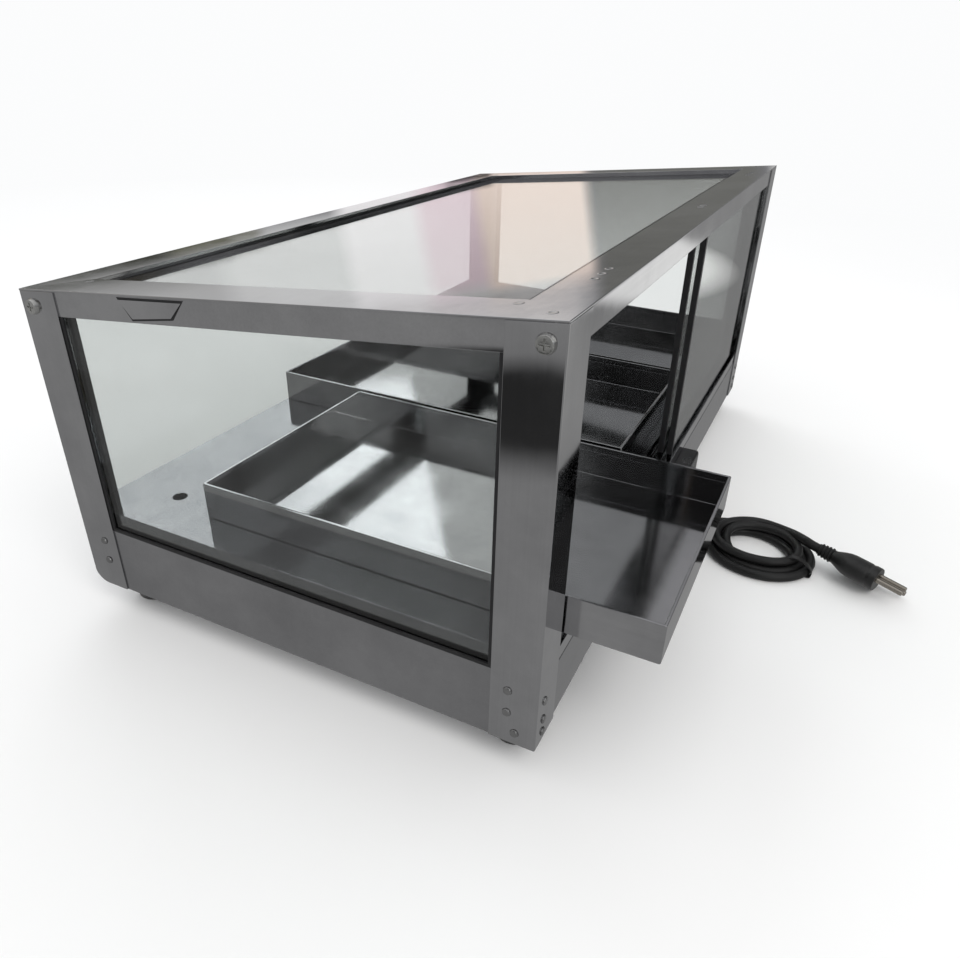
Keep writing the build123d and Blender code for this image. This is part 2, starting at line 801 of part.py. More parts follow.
def main():
    os.makedirs("parts", exist_ok=True)
    save(make_base_shell(), "base_shell")
    save(make_bottom_plate(), "bottom_plate")
    for name, (x, y) in zip(foot_names, foot_spots):
        save(make_foot(x, y), name)
    save(make_foot_screws(), "foot_screws")
    save(make_rivets(), "post_rivets")
    save(make_corner_screws(), "corner_screws")
    for name, sx, sy in (("post_operator_left", -1, -1), ("post_operator_right", 1, -1),
                         ("post_customer_left", -1, 1), ("post_customer_right", 1, 1)):
        save(make_post(sx, sy), name)
    save(make_top_frame(), "top_frame")
    save(make_top_seal(), "top_glass_seal")
    save(make_top_glass(), "top_glass")
    save(make_end_glass(-1), "end_glass_left")
    save(make_end_glass(1), "end_glass_right")
    save(make_customer_glass(), "customer_glass")
    save(make_glass_seals(), "glass_seals")
    save(make_deck(), "deck_plate")
    save(make_lower_track(), "lower_door_track")
    save(make_upper_track(), "upper_door_track")
    save(make_tray(-tray_pitch, tray_in_place - left_tray_pull), "tray_left")
    save(make_tray(0, tray_in_place), "tray_middle")
    save(make_tray(tray_pitch, tray_in_place), "tray_right")
    save(make_door_glass(outer_channel), "door_outer_glass")
    save(make_door_edge(outer_channel), "door_outer_edge")
    save(make_door_glass(inner_channel), "door_inner_glass")
    save(make_door_edge(inner_channel), "door_inner_edge")
    relief = make_relief()
    save(relief, "strain_relief")
    save(make_housing(relief), "control_housing")
    save(make_knob(), "thermostat_knob")
    save(make_shaft(), "thermostat_shaft")
    save(make_thermostat(), "thermostat_body")
    save(make_bulb(), "thermostat_bulb")
    save(make_element(), "heating_element")
    save(make_clips(), "element_clips")
    save(make_terminal_block(), "terminal_block")
    save(make_wires(), "internal_wires")
    save(make_label(), "blank_label")
    cord, plug, tie = make_cord(), make_plug_body(), make_tie()
    save(cord, "power_cord")
    save(make_coil(cord, plug, tie), "cord_coil")
    save(tie, "cord_tie")
    save(plug, "plug_body")
    save(make_plug_pins(), "plug_pins")


main()
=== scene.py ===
import json
from math import cos, pi, radians, sin

import bmesh
import bpy
from mathutils import Matrix, Vector


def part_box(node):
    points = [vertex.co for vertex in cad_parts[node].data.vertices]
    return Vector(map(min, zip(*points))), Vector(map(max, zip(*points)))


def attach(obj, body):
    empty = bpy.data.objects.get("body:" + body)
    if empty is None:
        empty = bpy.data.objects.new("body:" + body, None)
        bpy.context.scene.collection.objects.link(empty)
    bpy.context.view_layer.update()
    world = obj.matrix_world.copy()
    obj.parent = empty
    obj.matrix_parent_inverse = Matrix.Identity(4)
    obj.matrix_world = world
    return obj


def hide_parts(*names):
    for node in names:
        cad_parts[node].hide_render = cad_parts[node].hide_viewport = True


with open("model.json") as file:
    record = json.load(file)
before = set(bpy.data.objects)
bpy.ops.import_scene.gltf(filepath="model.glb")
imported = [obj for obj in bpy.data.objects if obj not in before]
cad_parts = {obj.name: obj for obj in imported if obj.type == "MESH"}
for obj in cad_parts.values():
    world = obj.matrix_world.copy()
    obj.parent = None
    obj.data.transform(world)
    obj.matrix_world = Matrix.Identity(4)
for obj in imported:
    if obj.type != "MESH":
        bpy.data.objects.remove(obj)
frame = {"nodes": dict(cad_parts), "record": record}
bpy.ops.object.select_all(action="DESELECT")
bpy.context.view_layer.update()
mm = 0.001
bodyOf = {node: body for body, nodes in frame["record"]["behaviour"]["bodies"].items() for node in nodes}
print("frame loaded,", len(bodyOf), "nodes")

# camera
cameraSettings = {
    "place": (-0.5466, -0.2502, 0.3375),
    "azimuth": 65.3,  # degrees from +Y towards +X
    "tilt": 29.33,  # degrees below the horizon
    "roll": -2.03,
    "lens": 28.4,
    "shift": (-0.012, 0.0),
}


def addCamera(s):
    azimuth, tilt, roll = (radians(s[k]) for k in ("azimuth", "tilt", "roll"))
    ahead = Vector((sin(azimuth) * cos(tilt), cos(azimuth) * cos(tilt), -sin(tilt)))
    right = ahead.cross(Vector((0, 0, 1))).normalized()
    down = ahead.cross(right)
    across = right * cos(roll) + down * sin(roll)
    below = down * cos(roll) - right * sin(roll)
    bpy.ops.object.camera_add(location=s["place"])
    camera = bpy.context.object
    camera.rotation_euler = Matrix((across, -below, -ahead)).transposed().to_euler()
    camera.data.lens = s["lens"]
    camera.data.sensor_width = 36
    camera.data.shift_x, camera.data.shift_y = s["shift"]
    camera.data.clip_start = 0.01
    bpy.context.scene.camera = camera


addCamera(cameraSettings)


# shader helpers
def newGroup(name, inputs, outputs):
    group = bpy.data.node_groups.new(name, "ShaderNodeTree")
    for label, kind, value in inputs:
        socket = group.interface.new_socket(label, in_out="INPUT", socket_type=kind)
        socket.default_value = value
    for label, kind in outputs:
        group.interface.new_socket(label, in_out="OUTPUT", socket_type=kind)
    return group, group.nodes.new("NodeGroupInput"), group.nodes.new("NodeGroupOutput")


def addNode(tree, kind, links=None, **values):
    node = tree.nodes.new(kind)
    for key, value in values.items():
        if hasattr(node, key):
            setattr(node, key, value)
        else:
            node.inputs[key.replace("_", " ")].default_value = value
    for key, source in (links or {}).items():
        tree.links.new(source, node.inputs[key])
    return node


def mapRange(tree, source, low, high, toLow, toHigh):
    node = addNode(tree, "ShaderNodeMapRange", {"Value": source})
    for label, value in (("From Min", low), ("From Max", high)):
        node.inputs[label].default_value = value
    for label, value in (("To Min", toLow), ("To Max", toHigh)):
        if isinstance(value, (int, float)):
            node.inputs[label].default_value = value
        else:
            tree.links.new(value, node.inputs[label])
    return node.outputs["Result"]


def noiseAt(tree, coords, scale, detail=3.0, roughness=0.5):
    node = addNode(tree, "ShaderNodeTexNoise", {"Vector": coords})
    node.inputs["Detail"].default_value = detail
    node.inputs["Roughness"].default_value = roughness
    if isinstance(scale, (int, float)):
        node.inputs["Scale"].default_value = scale
    else:
        tree.links.new(scale, node.inputs["Scale"])
    return node.outputs["Fac"]


def makeSheetGroup():
    # rolled and polished sheet: slight waves, a fine grain along one way, smudges that change the gloss
    group, entry, leave = newGroup(
        "sheetFinish",
        [("Grain", "NodeSocketVector", (40, 40, 1400)), ("Wave", "NodeSocketFloat", 9.0),
         ("Gloss", "NodeSocketFloat", 0.06), ("Haze", "NodeSocketFloat", 0.14),
         ("Line", "NodeSocketFloat", 0.03)],
        [("Roughness", "NodeSocketFloat"), ("Height", "NodeSocketFloat"), ("Shade", "NodeSocketFloat")],
    )
    coords = addNode(group, "ShaderNodeTexCoord").outputs["Object"]
    stretched = addNode(group, "ShaderNodeVectorMath", {0: coords, 1: entry.outputs["Grain"]},
                        operation="MULTIPLY").outputs["Vector"]
    grain = noiseAt(group, stretched, 1.0, 2.0)
    wave = noiseAt(group, coords, entry.outputs["Wave"], 1.0)
    smudge = noiseAt(group, coords, 17.0, 5.0, 0.62)
    gloss = mapRange(group, smudge, 0.38, 0.72, entry.outputs["Gloss"], entry.outputs["Haze"])
    lines = addNode(group, "ShaderNodeMath", {0: grain, 1: entry.outputs["Line"]}, operation="MULTIPLY")
    height = addNode(group, "ShaderNodeMath", {0: wave, 1: lines.outputs[0]}, operation="ADD")
    faint = mapRange(group, grain, 0.3, 0.7, -0.03, 0.03)
    shade = addNode(group, "ShaderNodeMath", {0: smudge, 1: faint}, operation="ADD")
    group.links.new(gloss, leave.inputs["Roughness"])
    group.links.new(height.outputs[0], leave.inputs["Height"])
    group.links.new(mapRange(group, shade.outputs[0], 0.32, 0.68, 0.0, 1.0), leave.inputs["Shade"])
    return group


def makeDustGroup():
    # dust that settles on faces turned up, and fine rubbed scratches
    group, entry, leave = newGroup(
        "dustFilm", [("Amount", "NodeSocketFloat", 0.3), ("Scale", "NodeSocketFloat", 60.0)],
        [("Mask", "NodeSocketFloat"), ("Rub", "NodeSocketFloat")],
    )
    coords = addNode(group, "ShaderNodeTexCoord")
    facing = addNode(group, "ShaderNodeSeparateXYZ",
                     {0: addNode(group, "ShaderNodeNewGeometry").outputs["Normal"]}).outputs["Z"]
    upward = mapRange(group, facing, 0.1, 1.0, 0.15, 1.0)
    specks = mapRange(group, noiseAt(group, coords.outputs["Object"], entry.outputs["Scale"], 8.0, 0.7),
                      0.42, 0.75, 0.0, 1.0)
    mask = addNode(group, "ShaderNodeMath", {0: upward, 1: specks}, operation="MULTIPLY")
    mask = addNode(group, "ShaderNodeMath", {0: mask.outputs[0], 1: entry.outputs["Amount"]},
                   operation="MULTIPLY")
    group.links.new(mask.outputs[0], leave.inputs["Mask"])
    group.links.new(noiseAt(group, coords.outputs["Object"], 24.0, 6.0, 0.65), leave.inputs["Rub"])
    return group


def makeMouldGroup():
    # fine texture of moulded plastic or rubber, with a slow unevenness under it
    group, entry, leave = newGroup(
        "mouldedGrain", [("Fine", "NodeSocketFloat", 900.0), ("Slow", "NodeSocketFloat", 40.0)],
        [("Height", "NodeSocketFloat"), ("Shade", "NodeSocketFloat")],
    )
    coords = addNode(group, "ShaderNodeTexCoord").outputs["Object"]
    fine = noiseAt(group, coords, entry.outputs["Fine"], 2.0)
    slow = noiseAt(group, coords, entry.outputs["Slow"], 3.0)
    total = addNode(group, "ShaderNodeMath", {0: fine, 1: slow}, operation="ADD")
    group.links.new(total.outputs[0], leave.inputs["Height"])
    group.links.new(slow, leave.inputs["Shade"])
    return group


sheetGroup, dustGroup, mouldGroup = makeSheetGroup(), makeDustGroup(), makeMouldGroup()


def blank(name):
    material = bpy.data.materials.new(name)
    material.use_nodes = True
    tree = material.node_tree
    shader = tree.nodes["Principled BSDF"]
    return material, tree, shader


def mixed(tree, factor, first, second):
    node = addNode(tree, "ShaderNodeMix", data_type="RGBA")
    node.inputs[6].default_value = (*first, 1)
    node.inputs[7].default_value = (*second, 1)
    tree.links.new(factor, node.inputs[0])
    return node.outputs[2]


def bumped(tree, shader, height, distance):
    bump = addNode(tree, "ShaderNodeBump", {"Height": height})
    bump.inputs["Distance"].default_value = distance
    bump.inputs["Strength"].default_value = 1.0
    tree.links.new(bump.outputs["Normal"], shader.inputs["Normal"])


def grouped(tree, group, **values):
    node = tree.nodes.new("ShaderNodeGroup")
    node.node_tree = group
    for key, value in values.items():
        node.inputs[key].default_value = value
    return node


def sheetMetal(name, dark, light, grain, gloss, haze, wave, rise):
    material, tree, shader = blank(name)
    finish = grouped(tree, sheetGroup, Grain=grain, Gloss=gloss, Haze=haze, Wave=wave, Line=0.004)
    shader.inputs["Metallic"].default_value = 1.0
    tree.links.new(mixed(tree, finish.outputs["Shade"], dark, light), shader.inputs["Base Color"])
    tree.links.new(finish.outputs["Roughness"], shader.inputs["Roughness"])
    bumped(tree, shader, finish.outputs["Height"], rise)
    return material


def moulded(name, base, dusty, roughness, rise, dust, coat, sheen):
    material, tree, shader = blank(name)
    grain = grouped(tree, mouldGroup, Fine=900.0)
    film = grouped(tree, dustGroup, Amount=dust)
    tree.links.new(mixed(tree, film.outputs["Mask"], base, dusty), shader.inputs["Base Color"])
    gloss = mapRange(tree, film.outputs["Rub"], 0.35, 0.7, roughness - 0.06, roughness + 0.1)
    tree.links.new(gloss, shader.inputs["Roughness"])
    shader.inputs["Coat Weight"].default_value = coat
    shader.inputs["Sheen Weight"].default_value = sheen
    bumped(tree, shader, grain.outputs["Height"], rise)
    return material


def clearPane(name, tint, wiped):
    # window glass: bends and mirrors for the eye, lets the lamps straight through
    material, tree, shader = blank(name)
    film = grouped(tree, dustGroup, Amount=1.0, Scale=9.0)
    shader.inputs["Transmission Weight"].default_value = 1.0
    shader.inputs["IOR"].default_value = 1.5
    tree.links.new(mixed(tree, film.outputs["Rub"], tint, wiped), shader.inputs["Base Color"])
    haze = mapRange(tree, film.outputs["Mask"], 0.2, 1.0, 0.0, 0.03)
    tree.links.new(haze, shader.inputs["Roughness"])
    path = addNode(tree, "ShaderNodeLightPath")
    through = addNode(tree, "ShaderNodeBsdfTransparent")
    through.inputs["Color"].default_value = (0.94, 0.96, 0.95, 1)
    mix = addNode(tree, "ShaderNodeMixShader")
    tree.links.new(path.outputs["Is Shadow Ray"], mix.inputs[0])
    tree.links.new(shader.outputs[0], mix.inputs[1])
    tree.links.new(through.outputs[0], mix.inputs[2])
    tree.links.new(mix.outputs[0], tree.nodes["Material Output"].inputs["Surface"])
    return material


def plateLabel(name):
    # plain warm plate with a lighter lower band
    material, tree, shader = blank(name)
    coords = addNode(tree, "ShaderNodeTexCoord").outputs["Object"]
    height = addNode(tree, "ShaderNodeSeparateXYZ", {0: coords}).outputs["Z"]
    band = mapRange(tree, height, 0.0352, 0.0356, 0.0, 1.0)
    grain = grouped(tree, mouldGroup, Fine=400.0)
    tree.links.new(mixed(tree, band, (0.80, 0.50, 0.06), (0.72, 0.20, 0.03)), shader.inputs["Base Color"])
    tree.links.new(mapRange(tree, grain.outputs["Shade"], 0.3, 0.7, 0.28, 0.45), shader.inputs["Roughness"])
    bumped(tree, shader, grain.outputs["Height"], 0.00003)
    return material


darkSteel, lightSteel = (0.50, 0.50, 0.51), (0.62, 0.62, 0.63)
metalFinishes = {
    # darker colour, lighter colour, grain, roughness where clean and where smudged, wave scale, wave height
    "polishedUpright": (darkSteel, lightSteel, (900, 900, 6), 0.05, 0.12, 7.0, 0.00018),
    "polishedLong": (darkSteel, lightSteel, (6, 900, 900), 0.05, 0.12, 7.0, 0.00018),
    "polishedTop": (darkSteel, (0.64, 0.64, 0.65), (7, 700, 700), 0.07, 0.16, 7.0, 0.00018),
    "polishedTray": ((0.47, 0.47, 0.48), (0.60, 0.60, 0.61), (700, 8, 700), 0.06, 0.13, 10.0, 0.00018),
    # the deck is the same polished steel as the rest, given darker colours: painted shade
    "polishedDeckPaintedShade": ((0.28, 0.28, 0.29), (0.37, 0.37, 0.38), (6, 900, 900), 0.05, 0.12, 7.0, 0.00018),
    "satinBase": ((0.40, 0.40, 0.41), (0.50, 0.50, 0.51), (5, 700, 700), 0.16, 0.26, 7.0, 0.00012),
    "zincBright": ((0.50, 0.50, 0.48), (0.68, 0.68, 0.66), (500, 500, 500), 0.14, 0.28, 80.0, 0.0001),
    "rivetSteel": ((0.34, 0.34, 0.34), (0.50, 0.50, 0.50), (400, 400, 400), 0.2, 0.35, 90.0, 0.0001),
    "pinMetal": ((0.42, 0.38, 0.32), (0.60, 0.56, 0.50), (500, 500, 60), 0.16, 0.3, 7.0, 0.0001),
    "elementSheath": ((0.20, 0.18, 0.15), (0.36, 0.31, 0.26), (60, 60, 60), 0.3, 0.5, 60.0, 0.0001),
    "copperDrawn": ((0.50, 0.24, 0.13), (0.72, 0.40, 0.25), (90, 90, 90), 0.2, 0.35, 60.0, 0.0001),
}
mouldedFinishes = {
    # colour, dusty colour, roughness, grain height, dust, coat, sheen
    "sealBlack": ((0.012, 0.012, 0.013), (0.10, 0.10, 0.10), 0.42, 0.00004, 0.25, 0.0, 0.0),
    "rubberFoot": ((0.014, 0.014, 0.014), (0.13, 0.125, 0.12), 0.55, 0.00004, 0.35, 0.0, 0.15),
    "plasticBlack": ((0.010, 0.010, 0.011), (0.09, 0.09, 0.09), 0.30, 0.00004, 0.25, 0.15, 0.0),
    "knobBlack": ((0.009, 0.009, 0.010), (0.10, 0.10, 0.10), 0.20, 0.00002, 0.2, 0.4, 0.0),
    "cordBlack": ((0.010, 0.010, 0.010), (0.07, 0.07, 0.07), 0.42, 0.00004, 0.2, 0.0, 0.0),
    "plugBlack": ((0.011, 0.011, 0.011), (0.08, 0.08, 0.08), 0.38, 0.00006, 0.25, 0.0, 0.0),
    "tieBlack": ((0.02, 0.02, 0.02), (0.1, 0.1, 0.1), 0.35, 0.00004, 0.2, 0.0, 0.0),
    "nylonWhite": ((0.70, 0.69, 0.64), (0.5, 0.48, 0.44), 0.42, 0.00004, 0.3, 0.0, 0.0),
    "wireRed": ((0.42, 0.03, 0.025), (0.3, 0.12, 0.1), 0.4, 0.00004, 0.2, 0.0, 0.0),
}
materials = {name: sheetMetal(name, *finish) for name, finish in metalFinishes.items()}
materials["clearGlass"] = clearPane("clearGlass", (0.80, 0.82, 0.81), (0.84, 0.86, 0.85))
for name, finish in mouldedFinishes.items():
    materials[name] = moulded(name, *finish)
materials["plainLabel"] = plateLabel("plainLabel")
print("materials made:", len(materials))


# modelling helpers
def alone(piece):
    bpy.ops.object.select_all(action="DESELECT")
    piece.select_set(True)
    bpy.context.view_layer.objects.active = piece


def settle(piece):
    alone(piece)
    bpy.ops.object.transform_apply(location=True, rotation=True, scale=True)


def pick(piece, kind, test):
    # leaves the piece in edit mode with the elements that pass selected
    alone(piece)
    bpy.ops.object.mode_set(mode="EDIT")
    bpy.ops.mesh.select_all(action="DESELECT")
    bpy.ops.mesh.select_mode(type=kind)
    mesh = bmesh.from_edit_mesh(piece.data)
    for element in {"VERT": mesh.verts, "EDGE": mesh.edges, "FACE": mesh.faces}[kind]:
        if test(element):
            element.select_set(True)
    mesh.select_flush_mode()
    bmesh.update_edit_mesh(piece.data)


def done():
    bpy.ops.object.mode_set(mode="OBJECT")


def applied(piece, kind, **values):
    alone(piece)
    modifier = piece.modifiers.new(kind.lower(), kind)
    for key, value in values.items():
        setattr(modifier, key, value)
    bpy.ops.object.modifier_apply(modifier=modifier.name)


def evened(piece):
    # flat faces stay flat next to eased edges
    alone(piece)
    bpy.ops.object.shade_smooth_by_angle(angle=radians(35))
    applied(piece, "WEIGHTED_NORMAL", weight=100, keep_sharp=True)


def ease(piece, width):
    # rounds the sharp edges of a turned or folded piece
    applied(piece, "BEVEL", width=width * mm, segments=2, limit_method="ANGLE", angle_limit=radians(35),
            use_clamp_overlap=True)
    evened(piece)


def dress(piece, name, material, body, slot, *nodes):
    piece.name = name
    piece.data.name = name
    piece.data.materials.clear()
    piece.data.materials.append(materials[material])
    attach(piece, body)
    if nodes:
        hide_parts(*nodes)
    return piece


def refined(node, name, material, slot, edge):
    # a copy of the sheet metal or glass with its doubles merged and its edges eased
    source = frame["nodes"][node]
    piece = bpy.data.objects.new(name, source.data.copy())
    bpy.context.scene.collection.objects.link(piece)
    pick(piece, "VERT", lambda v: True)
    bpy.ops.mesh.remove_doubles(threshold=0.00001)
    done()
    if edge:
        applied(piece, "BEVEL", width=edge * mm, segments=2, limit_method="ANGLE", angle_limit=radians(40),
                use_clamp_overlap=False, miter_outer="MITER_ARC", loop_slide=False)
    evened(piece)
    return dress(piece, name, material, bodyOf[node], slot, node)


def turned(name, profile, sides=48, oval=1.0):
    # a round body drawn out ring by ring: (radius, height) pairs in millimetres
    radius, height = profile[0]
    bpy.ops.mesh.primitive_circle_add(vertices=sides, radius=radius * mm, fill_type="NGON",
                                      location=(0, 0, height * mm))
    piece = bpy.context.object
    piece.name = name
    settle(piece)
    bpy.ops.object.mode_set(mode="EDIT")
    bpy.ops.mesh.select_mode(type="FACE")
    bpy.ops.mesh.select_all(action="SELECT")
    for (r0, h0), (r1, h1) in zip(profile, profile[1:]):
        bpy.ops.mesh.extrude_region_move(TRANSFORM_OT_translate={"value": (0, 0, (h1 - h0) * mm)})
        bpy.ops.transform.resize(value=(r1 / r0, r1 / r0, 1), center_override=(0, 0, h1 * mm))
    bpy.ops.mesh.select_all(action="SELECT")
    bpy.ops.mesh.normals_make_consistent(inside=False)
    done()
    piece.scale = (1, oval, 1)
    settle(piece)
    bpy.ops.object.shade_smooth_by_angle(angle=radians(35))
    return piece


def stand(piece, origin, direction, roll=0.0):
    # turns a piece built along +Z so that it points along direction from origin
    turn = Vector(direction).to_track_quat("Z", "Y").to_matrix().to_4x4()
    place = Matrix.Translation(Vector(origin) * mm)
    piece.matrix_world = place @ turn @ Matrix.Rotation(radians(roll), 4, "Z")
    settle(piece)
    return piece


# power cord
cordSettings = {
    "radius": 3.5,
    "route": [(15.4, -182.4, 10.2), (16.2, -188.2, 5.4), (18.6, -196.5, 3.7), (22.5, -206.0, 3.6),
              (26.5, -217.0, 3.6), (28.5, -230.0, 3.6)],
    "middle": (-8.0, -236.0),
    "longer": 4.0,  # the coil is this much wider along Y, each side
    "start": 3.0,  # degrees, where the coil's first turn begins
    "steps": 14,  # control points a turn
    # turn, half width of the coil's centreline, height
    "winding": [(0.0, 34.6, 3.6), (0.85, 34.6, 3.6), (1.15, 27.4, 3.6), (1.85, 27.4, 3.6), (2.15, 20.4, 3.6),
                (2.62, 20.4, 3.6), (2.85, 24.2, 10.9), (3.15, 24.2, 10.9), (3.3, 24.0, 9.9),
                (3.48, 24.2, 10.2), (3.74, 31.0, 10.9), (4.03, 31.0, 11.0)],
    "lead": [(15.5, -255.0, 12.5), (8.5, -261.0, 15.0), (2.0, -267.0, 16.6), (-2.0, -271.5, 16.8)],
    "plugStart": (-4.0, -277.0, 16.2),
    "plugDirection": (-0.33, -0.944, -0.1),
    "length": 0.86,
}
plugSettings = {
    "roll": 150.0,  # turn of the oval body about the cord
    "ribs": 4,
    "ribFirst": 1.5,
    "ribPitch": 2.6,
    "ribGrowth": 0.2,
    "ribProfile": [(4.3, 0.0), (5.1, 0.4), (5.1, 1.3), (4.3, 1.7)],
    "tailStart": (4.0, 0.0),
    "tailEnd": [(5.0, 12.5), (4.5, 14.0)],
    "bodyProfile": [(8.0, 11.5), (9.6, 13.0), (13.5, 18.0), (16.0, 22.0), (17.0, 26.0), (17.3, 38.0),
                    (16.6, 39.0), (16.6, 40.2), (17.4, 41.2), (17.4, 45.0), (16.8, 46.0)],
    "oval": 0.52,
    "edge": 0.4,
}
tieSettings = {
    "x": -22.0,
    "width": 4.0,
    "thickness": 0.8,
    "edge": 0.15,
    "outline": [(-276.2, 4.0), (-275.0, 1.3), (-272.0, 0.95), (-256.5, 0.95), (-254.0, 1.4), (-252.9, 4.0),
                (-254.2, 9.5), (-259.0, 13.9), (-264.5, 14.3), (-270.0, 12.0), (-275.0, 7.4)],
}


def between(keys, t):
    for (t0, *a), (t1, *b) in zip(keys, keys[1:]):
        if t <= t1:
            k = (t - t0) / (t1 - t0)
            k = k * k * (3 - 2 * k)
            return [p + (q - p) * k for p, q in zip(a, b)]
    return keys[-1][1:]


def windingPoints(s):
    points = []
    last = s["winding"][-1][0]
    spread = 1 / cos(pi / s["steps"]) ** 0.7  # the spline runs inside its control points
    step = 1
    while step / s["steps"] < last:
        t = step / s["steps"]
        half, height = between(s["winding"], t)
        angle = radians(s["start"]) - 2 * pi * t
        half *= spread
        points.append((s["middle"][0] + half * cos(angle),
                       s["middle"][1] + (half + s["longer"]) * sin(angle), height))
        step += 1
    return points


def addCord(s):
    points = s["route"] + windingPoints(s) + s["lead"]
    start, direction = Vector(s["plugStart"]), Vector(s["plugDirection"]).normalized()
    points += [tuple(start), tuple(start + direction * 6.0)]
    curve = bpy.data.curves.new("powerCord", "CURVE")
    curve.dimensions = "3D"
    spline = curve.splines.new("NURBS")
    spline.points.add(len(points) - 1)
    for target, point in zip(spline.points, points):
        target.co = (point[0] * mm, point[1] * mm, point[2] * mm, 1)
    spline.order_u = 3
    spline.use_endpoint_u = True
    spline.resolution_u = 6
    curve.bevel_depth = s["radius"] * mm
    curve.bevel_resolution = 4
    curve.use_fill_caps = True
    cord = bpy.data.objects.new("powerCord", curve)
    bpy.context.scene.collection.objects.link(cord)
    curve.materials.append(materials["cordBlack"])
    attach(cord, "case")
    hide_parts("power_cord", "cord_coil")
    return cord


def addPlug(s, start, direction):
    # moulded plug: a ribbed tail and a flat oval body with a raised rim behind its face
    ribs = []
    for i in range(s["ribs"]):
        along, grow = s["ribFirst"] + i * s["ribPitch"], i * s["ribGrowth"]
        ribs += [(radius + grow, along + height) for radius, height in s["ribProfile"]]
    tail = turned("plugTail", [s["tailStart"], *ribs, *s["tailEnd"]], 40)
    stand(tail, start, direction)
    body = turned("plugBody", s["bodyProfile"], 56, s["oval"])
    ease(body, s["edge"])
    stand(body, start, direction, s["roll"])
    dress(tail, "plugTail", "plugBlack", "case", "cord_sheath")
    return tail, dress(body, "plugBody", "plugBlack", "case", "cord_sheath", "plug_body")


def addTie(s):
    # a flat band wrapped round the turns
    bpy.ops.mesh.primitive_circle_add(vertices=len(s["outline"]), radius=0.01, fill_type="NOTHING")
    tie = bpy.context.object
    for vertex, (y, z) in zip(tie.data.vertices, s["outline"]):
        vertex.co = ((s["x"] - s["width"] / 2) * mm, y * mm, z * mm)
    bpy.ops.object.mode_set(mode="EDIT")
    bpy.ops.mesh.select_mode(type="EDGE")
    bpy.ops.mesh.select_all(action="SELECT")
    bpy.ops.mesh.extrude_region_move(TRANSFORM_OT_translate={"value": (s["width"] * mm, 0, 0)})
    bpy.ops.mesh.select_all(action="SELECT")
    bpy.ops.mesh.normals_make_consistent(inside=False)
    done()
    settle(tie)
    applied(tie, "SOLIDIFY", thickness=s["thickness"] * mm, offset=1.0)
    applied(tie, "BEVEL", width=s["edge"] * mm, segments=2, limit_method="ANGLE", angle_limit=radians(50))
    applied(tie, "SUBSURF", levels=1, render_levels=1)
    alone(tie)
    bpy.ops.object.shade_smooth_by_angle(angle=radians(40))
    return dress(tie, "cordTie", "tieBlack", "case", "cord_sheath", "cord_tie")


cord = addCord(cordSettings)
plugTail, plugBody = addPlug(plugSettings, cordSettings["plugStart"], cordSettings["plugDirection"])
cordTie = addTie(tieSettings)
print("cord and plug made")


# sheet metal, glass and seals
# node: (piece, material, slot, edge radius in millimetres)
sheetPieces = {
    "base_shell": ("baseShell", "satinBase", "satin_steel", 0.3),
    "post_operator_left": ("postOperatorLeft", "polishedUpright", "polished_steel", 0.3),
    "post_operator_right": ("postOperatorRight", "polishedUpright", "polished_steel", 0.3),
    "post_customer_left": ("postCustomerLeft", "polishedUpright", "polished_steel", 0.3),
    "post_customer_right": ("postCustomerRight", "polishedUpright", "polished_steel", 0.3),
    "top_frame": ("topFrame", "polishedTop", "polished_steel", 0.35),
    "deck_plate": ("deckPlate", "polishedDeckPaintedShade", "polished_steel", 0.4),
    "lower_door_track": ("lowerTrack", "polishedLong", "polished_steel", 0.2),
    "upper_door_track": ("upperTrack", "polishedLong", "polished_steel", 0.2),
    "tray_left": ("trayLeft", "polishedTray", "polished_steel", 0.3),
    "tray_middle": ("trayMiddle", "polishedTray", "polished_steel", 0.3),
    "tray_right": ("trayRight", "polishedTray", "polished_steel", 0.3),
    "top_glass": ("topGlass", "clearGlass", "clear_glass", 0.5),
    "end_glass_left": ("endGlassLeft", "clearGlass", "clear_glass", 0.4),
    "end_glass_right": ("endGlassRight", "clearGlass", "clear_glass", 0.4),
    "customer_glass": ("customerGlass", "clearGlass", "clear_glass", 0.4),
    "door_outer_glass": ("doorOuterGlass", "clearGlass", "clear_glass", 0.4),
    "door_inner_glass": ("doorInnerGlass", "clearGlass", "clear_glass", 0.4),
    "door_outer_edge": ("doorOuterEdge", "sealBlack", "black_seal", 0.25),
    "door_inner_edge": ("doorInnerEdge", "sealBlack", "black_seal", 0.25),
    "control_housing": ("controlHousing", "plasticBlack", "black_plastic", 0.4),
    "blank_label": ("plainPlate", "plainLabel", "orange_label", 0.15),
    "corner_screws": ("cornerScrews", "zincBright", "zinc_steel", 0.2),
    "post_rivets": ("postRivets", "rivetSteel", "satin_steel", 0.0),
}
for node, (name, material, slot, edge) in sheetPieces.items():
    refined(node, name, material, slot, edge)
keptNodes = {
    "bottom_plate": "satinBase", "foot_screws": "zincBright", "top_glass_seal": "sealBlack",
    "glass_seals": "sealBlack", "thermostat_shaft": "zincBright", "thermostat_body": "nylonWhite",
    "thermostat_bulb": "copperDrawn", "heating_element": "elementSheath", "element_clips": "zincBright",
    "terminal_block": "nylonWhite", "internal_wires": "wireRed", "plug_pins": "pinMetal",
    "strain_relief": "plugBlack", "thermostat_knob": "knobBlack",
}
for node, material in keptNodes.items():
    data = frame["nodes"][node].data
    if data.materials:
        for i in range(len(data.materials)):
            data.materials[i] = materials[material]
    else:
        data.materials.append(materials[material])
print("sheet metal and glass made")


